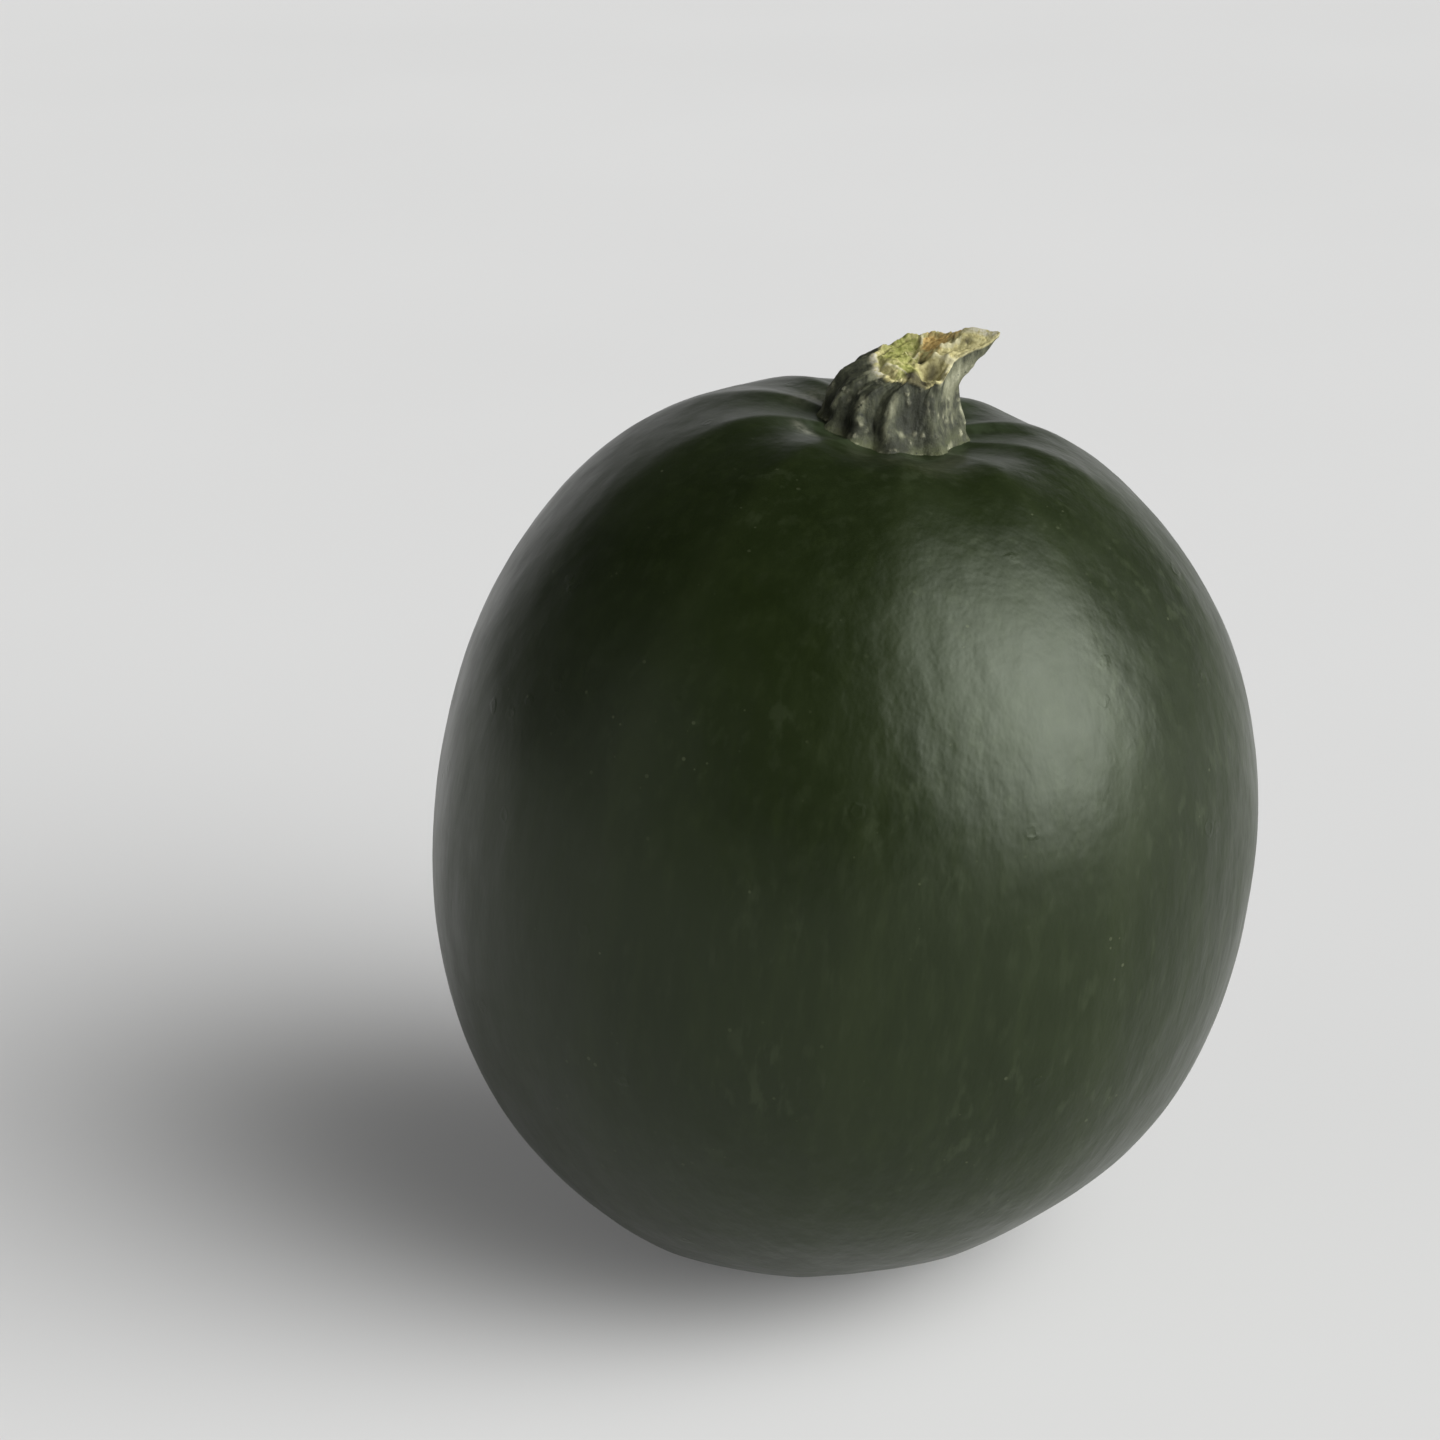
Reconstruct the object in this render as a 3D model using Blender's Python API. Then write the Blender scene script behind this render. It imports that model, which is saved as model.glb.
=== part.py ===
"""Gem squash: a small round squash with a dark green rind and its short, ridged, torn-off stem.

It stands on its blossom end. The stem axis leans a little to the right (+X), as the fruit settled.
Lengths below are millimetres. A bearing is in degrees from the front (-Y), turning to the right (+X),
and an elevation is in degrees above the horizontal.
"""

import bpy
import numpy as np

METRES = 0.001

# The fruit: a slightly boxy egg round the stem axis
HALF_WIDTH = 42.5
RISE_TO_STEM = 47.7
DROP_TO_BLOSSOM = 47.5
BOXINESS = 2.15
LEAN = np.radians(7.0)
REST_DEPTH = 45.9
REST_SOFTNESS = 0.35

# The hollow that the stem stands in, deeper in front, and the scar of the flower at the other end
HOLLOW_DEPTH = 4.3
HOLLOW_WIDTH = 11.0
FRONT_DIP = 1.1
FRONT_DIP_OUT = 9.0
FRONT_DIP_WIDTH = 4.5
FRONT_DIP_BEARING = 15
FRONT_DIP_SPREAD = 75
SCAR_DEPTH = 0.8
SCAR_REACH = 6.5
SCAR_BUTTON = 0.5
SCAR_BUTTON_REACH = 2.4

# Ribs from end to end, faint all along and stronger by the stem
RIBS = 10
RIB_BEARING = 2.0
RIB_HEIGHT = 0.2
RIB_BY_STEM = 0.55
RIB_BY_BLOSSOM = 0.1
RIB_FADE = 19.0
RIB_CREST_SOFTNESS = 0.24
RIB_START = 8.0

# Broad uneven growth: bearing and elevation of the middle, spread in degrees, height
SWELLS = (
    (50, -56, 17, -1.5),
    (5, -68, 17, -1.4),
    (-170, -68, 20, -1.1),
    (-128, 57, 22, 0.8),
    (120, 52, 20, -0.6),
    (92, 12, 25, 0.4),
    (176, -18, 34, -0.7),
    (-150, -38, 24, 0.4),
)

# The stem, measured from the bottom of its hollow: rings of share of the rim's height, centre in X and Y,
# half width and half depth, over the crests of its ridges
STEM_RINGS = (
    (0.00, -0.20, -0.55, 7.75, 7.85),
    (0.10, -0.20, -0.35, 7.45, 7.35),
    (0.20, -0.20, -0.20, 7.20, 6.90),
    (0.36, -0.55, -0.10, 6.85, 6.35),
    (0.58, -0.45, 0.00, 6.30, 5.70),
    (0.79, 0.00, 0.00, 5.65, 5.10),
    (1.00, 1.25, 0.00, 4.40, 4.35),
)
STEM_GAP = 0.3
RIDGE_BEARINGS = (-168, -132, -96, -63, -33, -4, 41, 83, 119, 155)
RIDGE_SPREAD = 10.5
GROOVE_AT_FOOT = 1.15
GROOVE_AT_RIM = 0.35

# The torn top: bearing and height of points round its rim
RIM = (
    (-180, 9.4),
    (-160, 9.0),
    (-140, 8.0),
    (-120, 7.7),
    (-100, 7.6),
    (-80, 7.0),
    (-60, 6.4),
    (-40, 6.3),
    (-20, 6.4),
    (0, 6.5),
    (18, 5.9),
    (38, 6.8),
    (60, 8.1),
    (75, 9.7),
    (87, 11.7),
    (100, 11.4),
    (120, 10.4),
    (140, 10.0),
    (160, 9.7),
    (180, 9.4),
)

# The spike that the tear leaves on the right
SPIKE_BEARING = 88
SPIKE_SPREAD = 13
SPIKE_REACH = 3.6
SPIKE_STARTS = 0.48

# The torn fibres inside the rim: the height of their middle and how they fall to it, their waves as turn
# per millimetre along X and Y, phase and height, and their lumps and pits as x, y, width and height
TEAR_MIDDLE_HEIGHT = 7.5
TEAR_BOWL = 1.3
TEAR_CALM_AT_RIM = 4
TEAR_WAVES = (
    (2.1, 1.7, 0.3, 0.110),
    (2.1, -1.7, 1.1, 0.110),
    (1.9, 3.3, 0.0, 0.132),
)
TEAR_LUMPS = (
    (-0.9, -1.0, 1.3, 0.5),
    (0.9, 1.6, 1.3, -0.6),
    (2.0, -1.9, 0.7, -1.0),
    (3.3, -2.4, 0.8, -1.0),
    (2.9, -0.8, 0.7, 0.6),
    (4.3, -1.2, 0.7, 0.6),
)

# Mesh
FRUIT_AROUND, FRUIT_RINGS = 80, 38
POLE_CROWDING = 0.5
FOOT_POLARS = np.radians(np.linspace(0.0, 40.0, 400))
STEM_AROUND = 90
STEM_SHARP_ANGLE = np.radians(55.0)
UNDERSIDE_RINGS, SIDE_RINGS, TEAR_RINGS = 3, 16, 11

RIND_COLOUR = (0.021, 0.030, 0.014, 1.0)
RIND_ROUGHNESS = 0.4
STEM_COLOUR = (0.120, 0.125, 0.066, 1.0)
STEM_ROUGHNESS = 0.75


def bump(distance, spread):
    return np.exp(-((distance / spread) ** 2))


def ease(share):
    """A smooth step from 0 to 1 as share goes from 0 to 1."""
    share = np.clip(share, 0.0, 1.0)
    return share * share * (3.0 - 2.0 * share)


def turn_between(bearing, other):
    """The angle between two bearings, in degrees."""
    return np.abs((bearing - other + 180.0) % 360.0 - 180.0)


def direction(bearing, elevation):
    b, e = np.radians(bearing), np.radians(elevation)
    return np.array([np.sin(b) * np.cos(e), -np.cos(b) * np.cos(e), np.sin(e)])


def around_axis(out, bearing, up):
    """World-aligned points from a distance and bearing round the leaning stem axis and a height along it."""
    x = out * np.sin(np.radians(bearing))
    y = -out * np.cos(np.radians(bearing))
    return np.stack([x * np.cos(LEAN) + up * np.sin(LEAN), y, up * np.cos(LEAN) - x * np.sin(LEAN)], axis=-1)


def rind_profile(polar, bearing):
    """Distance from the stem axis and height along it, at an angle from the stem end."""
    s, c = np.sin(polar), np.cos(polar)
    cap = np.where(c > 0, RISE_TO_STEM, DROP_TO_BLOSSOM)
    radius = ((s / HALF_WIDTH) ** BOXINESS + (np.abs(c) / cap) ** BOXINESS) ** (-1.0 / BOXINESS)
    crest = 1.0 - np.hypot(np.sin(np.radians(bearing - RIB_BEARING) * RIBS / 2), RIB_CREST_SOFTNESS)
    near_end = np.where(c > 0, RIB_BY_STEM, RIB_BY_BLOSSOM) * bump(radius * s, RIB_FADE)
    radius = radius + (RIB_HEIGHT + near_end) * crest * (1.0 - bump(radius * s, RIB_START))
    dip = FRONT_DIP * bump(radius * s - FRONT_DIP_OUT, FRONT_DIP_WIDTH)
    dip = dip * bump(turn_between(bearing, FRONT_DIP_BEARING), FRONT_DIP_SPREAD)
    hollow = (HOLLOW_DEPTH * bump(radius * s, HOLLOW_WIDTH) + dip) * (c > 0)
    return radius * s, radius * c - hollow


def rind(polar, bearing):
    """Points of the rind, in millimetres from the fruit's middle."""
    out, up = rind_profile(polar, bearing)
    points = around_axis(out, bearing, up)
    outward = points / np.linalg.norm(points, axis=-1, keepdims=True)
    for swell_bearing, elevation, spread, height in SWELLS:
        angle = np.degrees(np.arccos(np.clip(outward @ direction(swell_bearing, elevation), -1, 1)))
        points = points + outward * (height * bump(angle, spread))[..., None]
    below = np.clip((points[..., 2] + REST_DEPTH) / (2 * REST_SOFTNESS) + 0.5, 0.0, None)
    flat = np.where(below < 1.0, REST_SOFTNESS * below**2 - REST_DEPTH, points[..., 2])
    scar = SCAR_DEPTH * (1.0 - ease(out / SCAR_REACH)) - SCAR_BUTTON * (1.0 - ease(out / SCAR_BUTTON_REACH))
    points[..., 2] = flat + scar * (up < 0)
    return points


def polar_at(out):
    """The angle from the stem end at which the rind is this far from the axis."""
    return np.interp(out, rind_profile(FOOT_POLARS, RIB_BEARING)[0], FOOT_POLARS)


def ridge_crest(bearing):
    return np.max([bump(turn_between(bearing, b), RIDGE_SPREAD) for b in RIDGE_BEARINGS], axis=0)


def rim_height(bearing):
    bearings, heights = np.array(RIM).T
    return np.interp((bearing + 180.0) % 360.0 - 180.0, bearings, heights)


def stem_side(share, bearing):
    """x, y of the stem's side at a share of the way from its foot to its rim."""
    rows = np.array(STEM_RINGS).T
    centre_x, centre_y, half_width, half_depth = (np.interp(share, rows[0], row) for row in rows[1:])
    groove = (GROOVE_AT_FOOT + (GROOVE_AT_RIM - GROOVE_AT_FOOT) * share) * (1.0 - ridge_crest(bearing))
    spike = SPIKE_REACH * bump(turn_between(bearing, SPIKE_BEARING), SPIKE_SPREAD)
    spike = spike * ease((share - SPIKE_STARTS) / (1.0 - SPIKE_STARTS))
    x = centre_x + (half_width - groove + spike) * np.sin(np.radians(bearing))
    y = centre_y - (half_depth - groove) * np.cos(np.radians(bearing))
    return x, y


def tear_relief(x, y):
    """The uneven torn fibres of the stem's top."""
    relief = np.zeros_like(x)
    for along_x, along_y, phase, height in TEAR_WAVES:
        relief = relief + height * np.sin(along_x * x + along_y * y + phase)
    for lump_x, lump_y, width, height in TEAR_LUMPS:
        relief = relief + height * bump(np.hypot(x - lump_x, y - lump_y), width)
    return relief


def stem_rings():
    """The stem's rings from the middle of its underside, over its side, to the middle of the tear."""
    bearing = np.arange(STEM_AROUND) * 360.0 / STEM_AROUND
    seat = rind_profile(np.array(0.0), 90.0)[1] + STEM_GAP
    foot_x, foot_y = stem_side(0.0, bearing)
    rim_x, rim_y = stem_side(1.0, bearing)
    rings = []
    for share in np.linspace(0.0, 1.0, UNDERSIDE_RINGS + 1):
        out = share * np.hypot(foot_x, foot_y)
        rings.append((foot_x * share, foot_y * share, rind_profile(polar_at(out), bearing)[1] + STEM_GAP))
    foot_up = rings[-1][2]
    for share in np.linspace(0.0, 1.0, SIDE_RINGS + 1)[1:]:
        x, y = stem_side(share, bearing)
        rings.append((x, y, foot_up + (seat + rim_height(bearing) - foot_up) * share))
    middle_x = STEM_RINGS[-1][1]
    for share in np.linspace(1.0, 0.0, TEAR_RINGS + 1)[1:]:
        x = middle_x + (rim_x - middle_x) * share
        y = rim_y * share
        rise = (rim_height(bearing) - TEAR_MIDDLE_HEIGHT) * share**TEAR_BOWL
        relief = tear_relief(x, y) * (1.0 - share**TEAR_CALM_AT_RIM)
        rings.append((x, y, seat + TEAR_MIDDLE_HEIGHT + rise + relief))
    return [around_axis(np.hypot(x, y), np.degrees(np.arctan2(x, -y)), up) for x, y, up in rings]


def fruit_rings():
    """The rind's rings from the blossom end up to the stem end, closer together near both ends."""
    bearing = RIB_BEARING + np.arange(FRUIT_AROUND) * 360.0 / FRUIT_AROUND
    steps = np.linspace(1.0, 0.0, FRUIT_RINGS + 1)
    polars = np.pi * (steps - POLE_CROWDING * np.sin(2 * np.pi * steps) / (2 * np.pi))
    return [rind(np.full(FRUIT_AROUND, polar), bearing) for polar in polars]


def closed_mesh(name, rings):
    """A closed mesh over rings of points. The first and last ring are single points."""
    around = len(rings[0])
    inner = np.concatenate(rings[1:-1])
    points = np.concatenate([rings[0][:1], inner, rings[-1][:1]]) * METRES
    last = len(points) - 1
    faces = []
    for j in range(around):
        k = (j + 1) % around
        faces.append((0, 1 + k, 1 + j))
        for start in range(1, last - around, around):
            faces.append((start + j, start + k, start + around + k, start + around + j))
        faces.append((last - around + j, last - around + k, last))
    mesh = bpy.data.meshes.new(name)
    mesh.from_pydata(points.tolist(), [], faces)
    mesh.validate()
    mesh.shade_smooth()
    return mesh


def material(name, colour, roughness):
    made = bpy.data.materials.new(name)
    made.use_nodes = True
    shader = made.node_tree.nodes["Principled BSDF"]
    shader.inputs["Base Color"].default_value = colour
    shader.inputs["Roughness"].default_value = roughness
    shader.inputs["Metallic"].default_value = 0.0
    return made


def add_part(name, rings, colour, roughness, parent):
    mesh = closed_mesh(name, rings)
    mesh.materials.append(material(name, colour, roughness))
    part = bpy.data.objects.new(name, mesh)
    part.parent = parent
    bpy.context.scene.collection.objects.link(part)
    return part


def main():
    for old in list(bpy.data.objects):
        bpy.data.objects.remove(old, do_unlink=True)
    rind_points = fruit_rings()
    everything = np.concatenate(rind_points)
    middle = (everything.min(axis=0) + everything.max(axis=0)) / 2
    standing = bpy.data.objects.new("standing", None)
    standing.location = np.array([-middle[0], -middle[1], REST_DEPTH]) * METRES
    bpy.context.scene.collection.objects.link(standing)
    add_part("fruit", rind_points, RIND_COLOUR, RIND_ROUGHNESS, standing)
    stem = add_part("stem", stem_rings(), STEM_COLOUR, STEM_ROUGHNESS, standing)
    stem.data.set_sharp_from_angle(angle=STEM_SHARP_ANGLE)


main()
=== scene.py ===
import math

import bpy
import numpy as np
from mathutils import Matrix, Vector, noise


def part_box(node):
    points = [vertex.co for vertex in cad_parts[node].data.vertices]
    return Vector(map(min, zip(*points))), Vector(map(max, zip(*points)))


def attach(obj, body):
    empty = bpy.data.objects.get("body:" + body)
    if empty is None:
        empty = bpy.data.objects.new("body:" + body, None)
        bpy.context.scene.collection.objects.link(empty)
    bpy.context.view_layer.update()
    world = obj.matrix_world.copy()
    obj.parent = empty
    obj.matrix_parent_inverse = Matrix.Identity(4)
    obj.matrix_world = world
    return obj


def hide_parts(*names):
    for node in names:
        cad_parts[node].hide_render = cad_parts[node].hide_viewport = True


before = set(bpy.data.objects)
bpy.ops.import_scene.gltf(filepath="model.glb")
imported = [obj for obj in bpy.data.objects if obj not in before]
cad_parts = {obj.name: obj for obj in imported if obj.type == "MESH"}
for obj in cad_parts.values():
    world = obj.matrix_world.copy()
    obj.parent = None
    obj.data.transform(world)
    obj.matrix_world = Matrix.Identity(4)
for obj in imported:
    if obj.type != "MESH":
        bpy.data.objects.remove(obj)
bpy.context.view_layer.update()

METRES = 0.001

# The form, in millimetres, as the solids have it. A bearing is in degrees from the front (-Y), turning
# to the right (+X), and an elevation is in degrees above the horizontal.
HALF_WIDTH = 42.5
RISE_TO_STEM = 47.7
DROP_TO_BLOSSOM = 47.5
BOXINESS = 2.15
LEAN = math.radians(7.0)
REST_DEPTH = 45.9
REST_SOFTNESS = 0.35

# The hollow that the stem stands in, deeper in front, and the scar of the flower at the other end
HOLLOW_DEPTH = 4.3
HOLLOW_WIDTH = 11.0
FRONT_DIP = 1.1
FRONT_DIP_OUT = 9.0
FRONT_DIP_WIDTH = 4.5
FRONT_DIP_BEARING = 15
FRONT_DIP_SPREAD = 75
SCAR_DEPTH = 0.8
SCAR_REACH = 6.5
SCAR_BUTTON = 0.5
SCAR_BUTTON_REACH = 2.4

# Ribs from end to end, faint all along and stronger by the stem
RIBS = 10
RIB_BEARING = 2.0
RIB_HEIGHT = 0.2
RIB_BY_STEM = 0.55
RIB_BY_BLOSSOM = 0.1
RIB_FADE = 19.0
RIB_CREST_SOFTNESS = 0.24
RIB_START = 8.0

# Broad swells and flats of the rind: bearing, elevation, spread in degrees, and height
SWELLS = (
    (50, -56, 17, -1.5),
    (5, -68, 17, -1.4),
    (-170, -68, 20, -1.1),
    (-128, 57, 22, 0.8),
    (120, 52, 20, -0.6),
    (92, 12, 25, 0.4),
    (176, -18, 34, -0.7),
    (-150, -38, 24, 0.4),
)

# Outlines of the stem: share of its height, x and y of the middle, half width and half depth
STEM_RINGS = (
    (0.00, -0.20, -0.55, 7.75, 7.85),
    (0.10, -0.20, -0.35, 7.45, 7.35),
    (0.20, -0.20, -0.20, 7.20, 6.90),
    (0.36, -0.55, -0.10, 6.85, 6.35),
    (0.58, -0.45, 0.00, 6.30, 5.70),
    (0.79, 0.00, 0.00, 5.65, 5.10),
    (1.00, 1.25, 0.00, 4.40, 4.35),
)
STEM_GAP = 0.3
RIDGE_BEARINGS = (-168, -132, -96, -63, -33, -4, 41, 83, 119, 155)
RIDGE_SPREAD = 10.5
GROOVE_AT_FOOT = 1.15
GROOVE_AT_RIM = 0.35

# Pale scuffs on the rind beside the stem: bearing, distance out, the spread of both, and how pale it is.
# They are all within this angle from the stem end, in radians.
SCUFFS_END = 1.0
SCUFFS = (
    (-53, 11.2, 10, 0.65, 1.0),
    (-61, 11.0, 4, 0.45, 0.7),
    (-121, 9.8, 18, 1.70, 0.8),
)

# Worn and corky places on the side of the stem, then places of painted shade in its grooves, at its foot
# and at its rim: bearing, share of its height, the spread of both, and how pale or dark the place is
PALE_PLACES = (
    (-4, 0.60, 5, 0.20, 0.72),
    (-7, 0.26, 6, 0.14, 0.40),
    (8, 0.27, 4, 0.05, 0.62),
    (61, 0.04, 7, 0.05, 0.85),
    (-10, 0.02, 3, 0.04, 0.7),
    (-38, 0.10, 3, 0.04, 0.8),
    (70, 0.72, 15, 0.24, 0.95),
    (66, 0.40, 13, 0.16, 0.42),
    (54, 0.20, 10, 0.14, 0.28),
    (70, 0.27, 1.6, 0.07, 0.8),
    (83, 0.30, 2.4, 0.07, 0.9),
    (-34, 0.62, 6, 0.14, 0.55),
    (-31, 0.34, 5, 0.12, 0.35),
    (-63, 0.45, 4, 0.20, 0.35),
    (-62, 0.97, 15, 0.05, 1.0),
    (-92, 0.98, 10, 0.04, 0.9),
    (42, 0.95, 9, 0.06, 0.6),
    (95, 0.85, 14, 0.20, 0.8),
    (-96, 0.35, 6, 0.30, 0.45),
    (-132, 0.50, 7, 0.36, 0.55),
    (-168, 0.40, 7, 0.36, 0.65),
    (119, 0.45, 8, 0.36, 0.70),
    (155, 0.55, 7, 0.36, 0.60),
)
PAINTED_SHADE_PLACES = (
    (19, 0.62, 14, 0.36, 0.95),
    (24, 0.25, 9, 0.16, 0.45),
    (-36, 0.22, 11, 0.16, 0.70),
    (-50, 0.50, 9, 0.24, 0.45),
    (2, 0.10, 14, 0.12, 0.75),
    (58, 0.36, 5, 0.20, 0.35),
    (4, 1.00, 15, 0.10, 0.90),
)

# The torn top, seen from above: yellow green flesh, tan flesh and pits darkened with painted shade, each as
# x, y, width, depth and amount, and pale strands, each from x, y to x, y with its width
GREEN_FLESH = (
    (-0.3, 2.8, 2.0, 1.6, 1.0),
    (-0.5, 0.3, 2.2, 2.1, 1.0),
    (0.3, -2.0, 1.3, 1.5, 1.0),
)
TAN_FLESH = (
    (3.3, 2.0, 1.5, 1.3, 1.0),
    (2.6, 2.8, 0.8, 1.2, 0.9),
    (4.9, 1.5, 0.9, 0.6, 0.7),
    (3.0, 0.6, 1.0, 0.6, 0.5),
)
PITS = (
    (1.8, 0.2, 0.42, 0.85, 0.95),
    (1.3, -0.5, 0.45, 0.30, 0.55),
    (2.9, -1.7, 0.90, 0.60, 0.62),
    (2.1, -3.0, 0.35, 0.40, 0.9),
    (4.6, 1.0, 0.25, 0.25, 0.6),
    (6.1, 0.2, 0.30, 0.25, 0.7),
    (0.5, -0.6, 0.35, 0.45, 0.35),
    (0.6, -3.0, 0.70, 0.90, 0.80),
)
STRANDS = (
    (2.9, -0.9, 4.9, -1.8, 0.24),
    (1.6, 3.9, 1.7, 2.7, 0.22),
    (4.0, -2.7, 4.9, -1.8, 0.28),
    (-1.9, -1.4, 0.9, -3.0, 0.24),
    (3.6, 0.3, 5.4, 0.4, 0.20),
    (0.1, 0.6, 1.4, 1.4, 0.18),
)

# The rim of the torn top: bearing, and height above where the stem starts
RIM = (
    (-180, 9.4),
    (-160, 9.0),
    (-140, 8.0),
    (-120, 7.7),
    (-100, 7.6),
    (-80, 7.0),
    (-60, 6.4),
    (-40, 6.3),
    (-20, 6.4),
    (0, 6.5),
    (18, 5.9),
    (38, 6.8),
    (60, 8.1),
    (75, 9.7),
    (87, 11.7),
    (100, 11.4),
    (120, 10.4),
    (140, 10.0),
    (160, 9.7),
    (180, 9.4),
)
SPIKE_BEARING = 88
SPIKE_SPREAD = 13
SPIKE_REACH = 3.6
SPIKE_STARTS = 0.48

# The form inside the rim: waves, each as its turn along x and along y, phase and height, and lumps, each as
# x, y, width and height
TEAR_MIDDLE_HEIGHT = 7.5
TEAR_BOWL = 1.3
TEAR_CALM_AT_RIM = 6
TEAR_WAVES = (
    (2.1, 1.7, 0.3, 0.110),
    (2.1, -1.7, 1.1, 0.110),
    (1.9, 3.3, 0.0, 0.132),
)
TEAR_LUMPS = (
    (-0.9, -1.0, 1.3, 0.5),
    (0.9, 1.6, 1.3, -0.6),
    (2.0, -1.9, 0.7, -1.0),
    (3.3, -2.4, 0.8, -1.0),
    (2.9, -0.8, 0.7, 0.6),
    (4.3, -1.2, 0.7, 0.6),
)

# The finer surface of the rind, in millimetres: how far it lies inside the solid, then each relief. A seed
# picks a noise.
SKIN_INSET = 0.10
LUMP_SIZE, LUMP_HEIGHT, LUMP_SEED = 13.0, 0.15, 3.1
DIMPLE_SIZE, DIMPLE_HEIGHT, DIMPLE_SEED = 2.8, 0.045, 7.7
DIMPLE_STRETCH = 2.2
PORE_SIZE, PORE_HEIGHT, PORE_SEED = 1.25, 0.014, 11.3
WRINKLE_SIZE, WRINKLE_HEIGHT, WRINKLE_SEED = 0.16, 0.10, 6.6
WRINKLE_OUT, WRINKLE_SPREAD, WRINKLE_DRIFT = 8.5, 4.5, 0.02

# The finer surface of the stem's side: bark, corky warts in patches, and the toes of the ridges. Noise that
# is DRAWN is longer along the height by 1 over that number.
FOOT_SUNK = 0.35
NOISE_CIRCLE = 4.4
BARK_SIZE, BARK_HEIGHT, BARK_SEED = 0.9, 0.15, 5.5
FINER_BARK, FINER_BARK_WEIGHT, FINER_BARK_SEED = 0.45, 0.6, 9.5
BARK_DRAWN, BARK_SINK, BARK_ENDS = 0.4, 0.5, 0.06
WART_SIZE, WART_HEIGHT, WART_SINK = 0.85, 0.13, 0.3
WART_RADIUS, WART_EDGE, WART_DRAWN = 0.36, 0.25, 0.6
WART_GRIT_SIZE, WART_GRIT, WART_GRIT_SEED = 0.3, 0.16, 6.1
PATCH_SIZE, PATCH_EDGE, PATCH_START, PATCH_SEED = 2.2, 2.2, 0.45, 8.1
PATCH_BY_FOOT, PATCH_BY_FOOT_REACH = 0.5, 0.12
TOE_HEIGHT, TOE_REACH = 0.35, 0.08
TOE_UNEVEN, TOE_UNEVEN_SIZE, TOE_SEED = 0.30, 0.9, 7.3

# The finer surface of the torn top: its ragged rim, the fibres, knobs, strands and pits, and the collar just
# inside the rim. The last two lines make its patches of colour uneven.
JAG_SIZE, JAG_HEIGHT, JAG_SINK, JAG_SEED = 0.75, 0.34, 0.35, 1.3
JAG_PARTS = ((1, 1), (0.4, 0.5), (0.2, 0.3))
FIBRE_SIZE, FIBRE_HEIGHT, FIBRE_SEED = 0.5, 0.20, 2.5
BROAD_FIBRE, BROAD_FIBRE_WEIGHT, BROAD_FIBRE_SEED = 2.4, 0.8, 4.5
FIBRE_STRETCH = 1.7
KNOB_SIZE, KNOB_HEIGHT, KNOB_RADIUS, KNOB_EDGE = 0.85, 0.34, 0.45, 0.35
KNOBS_ON_LEFT, KNOBS_START, KNOBS_RISE = 0.35, 3.8, 1.6
STRAND_HEIGHT = 0.32
PIT_DEPTH = 0.45
COLLAR_DEPTH, COLLAR_AT, COLLAR_WIDTH = 0.40, 0.86, 0.06
COLLAR_ALL_ROUND, COLLAR_BEARING, COLLAR_SPREAD = 0.3, -75, 70
TORN_FROM = 0.955
WOBBLE, WOBBLE_SIZE, WOBBLE_SEED = 0.22, 1.1, 4.4
WOBBLE_SHIFTS = (0.0, 9.0)

# How many points the meshes have, and where
FRUIT_AROUND, FRUIT_RINGS = 420, 234
POLE_CROWDING = 0.5
FOOT_POLARS = np.radians(np.linspace(0.0, 40.0, 400))
STEM_AROUND = 320
UNDERSIDE_RINGS, SIDE_RINGS, TEAR_RINGS = 3, 110, 70

# Colours of the rind
DEEP_GREEN = (0.0066, 0.0112, 0.0017, 1)
CLOUD_GREEN = (0.0098, 0.0158, 0.0029, 1)
STREAK_GREEN = (0.0135, 0.0205, 0.0048, 1)
RIB_GREEN = (0.0165, 0.0235, 0.0065, 1)
FLECK_PALE = (0.080, 0.092, 0.050, 1)
DASH_PALE = (0.023, 0.031, 0.013, 1)
DULL_BY_STEM = (0.030, 0.042, 0.020, 1)
SCUFF_PALE = (0.125, 0.128, 0.094, 1)
SCAR_TAN = (0.150, 0.115, 0.060, 1)

# Colours of the stem's skin, then of its torn top. Of each pair, the first is the darker.
SKIN_GREENS = ((0.023, 0.026, 0.014, 1), (0.060, 0.065, 0.036, 1))
FOOT_GREEN = (0.088, 0.098, 0.042, 1)
WORN_PALE = (0.170, 0.173, 0.108, 1)
WORN_PALEST = (0.400, 0.400, 0.285, 1)
# The colour of the painted shade on the stem's side
SHADE_DARK = (0.012, 0.014, 0.006, 1)
CORK_PALE = (0.330, 0.325, 0.220, 1)
SPECK_DARK = (0.012, 0.015, 0.008, 1)
CREAMS = ((0.315, 0.280, 0.115, 1), (0.540, 0.495, 0.245, 1))
YELLOW_GREENS = ((0.172, 0.186, 0.034, 1), (0.335, 0.335, 0.105, 1))
TANS = ((0.290, 0.185, 0.048, 1), (0.550, 0.390, 0.140, 1))
STRAND_PALE = (0.500, 0.470, 0.290, 1)
# The next is painted shade in the pits of the torn top
PIT_SHADE = (0.018, 0.013, 0.002, 1)
COLLAR_PALE = (0.460, 0.440, 0.340, 1)
# The next is painted shade just inside the rim of the torn top
RIM_SHADE_DARK = (0.030, 0.026, 0.009, 1)

# How deep each relief of the materials is, in metres
PIMPLE_DEPTH = 0.00028
RING_DEPTH = 0.00005
STROKE_DEPTH = 0.00006
GRAIN_DEPTH = 0.00016
DRAWN_DEPTH = 0.00020

# The picture, as in the photo
CAMERA_DISTANCE = 0.380
CAMERA_ELEVATION = math.radians(22.0)
LENS = 90.85
SENSOR = 36.0
NEAREST_SEEN = 0.01
PICTURE = 1440
FRUIT_MIDDLE_PIXEL = (841.0, 832.3)

FLOOR_REACH = 4.0
FLOOR_GREYS = ((0.60, 0.60, 0.595, 1), (0.62, 0.62, 0.615, 1))
FLOOR_GLOW = 0.08
WHITE = (1.0, 1.0, 1.0, 1.0)

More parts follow.
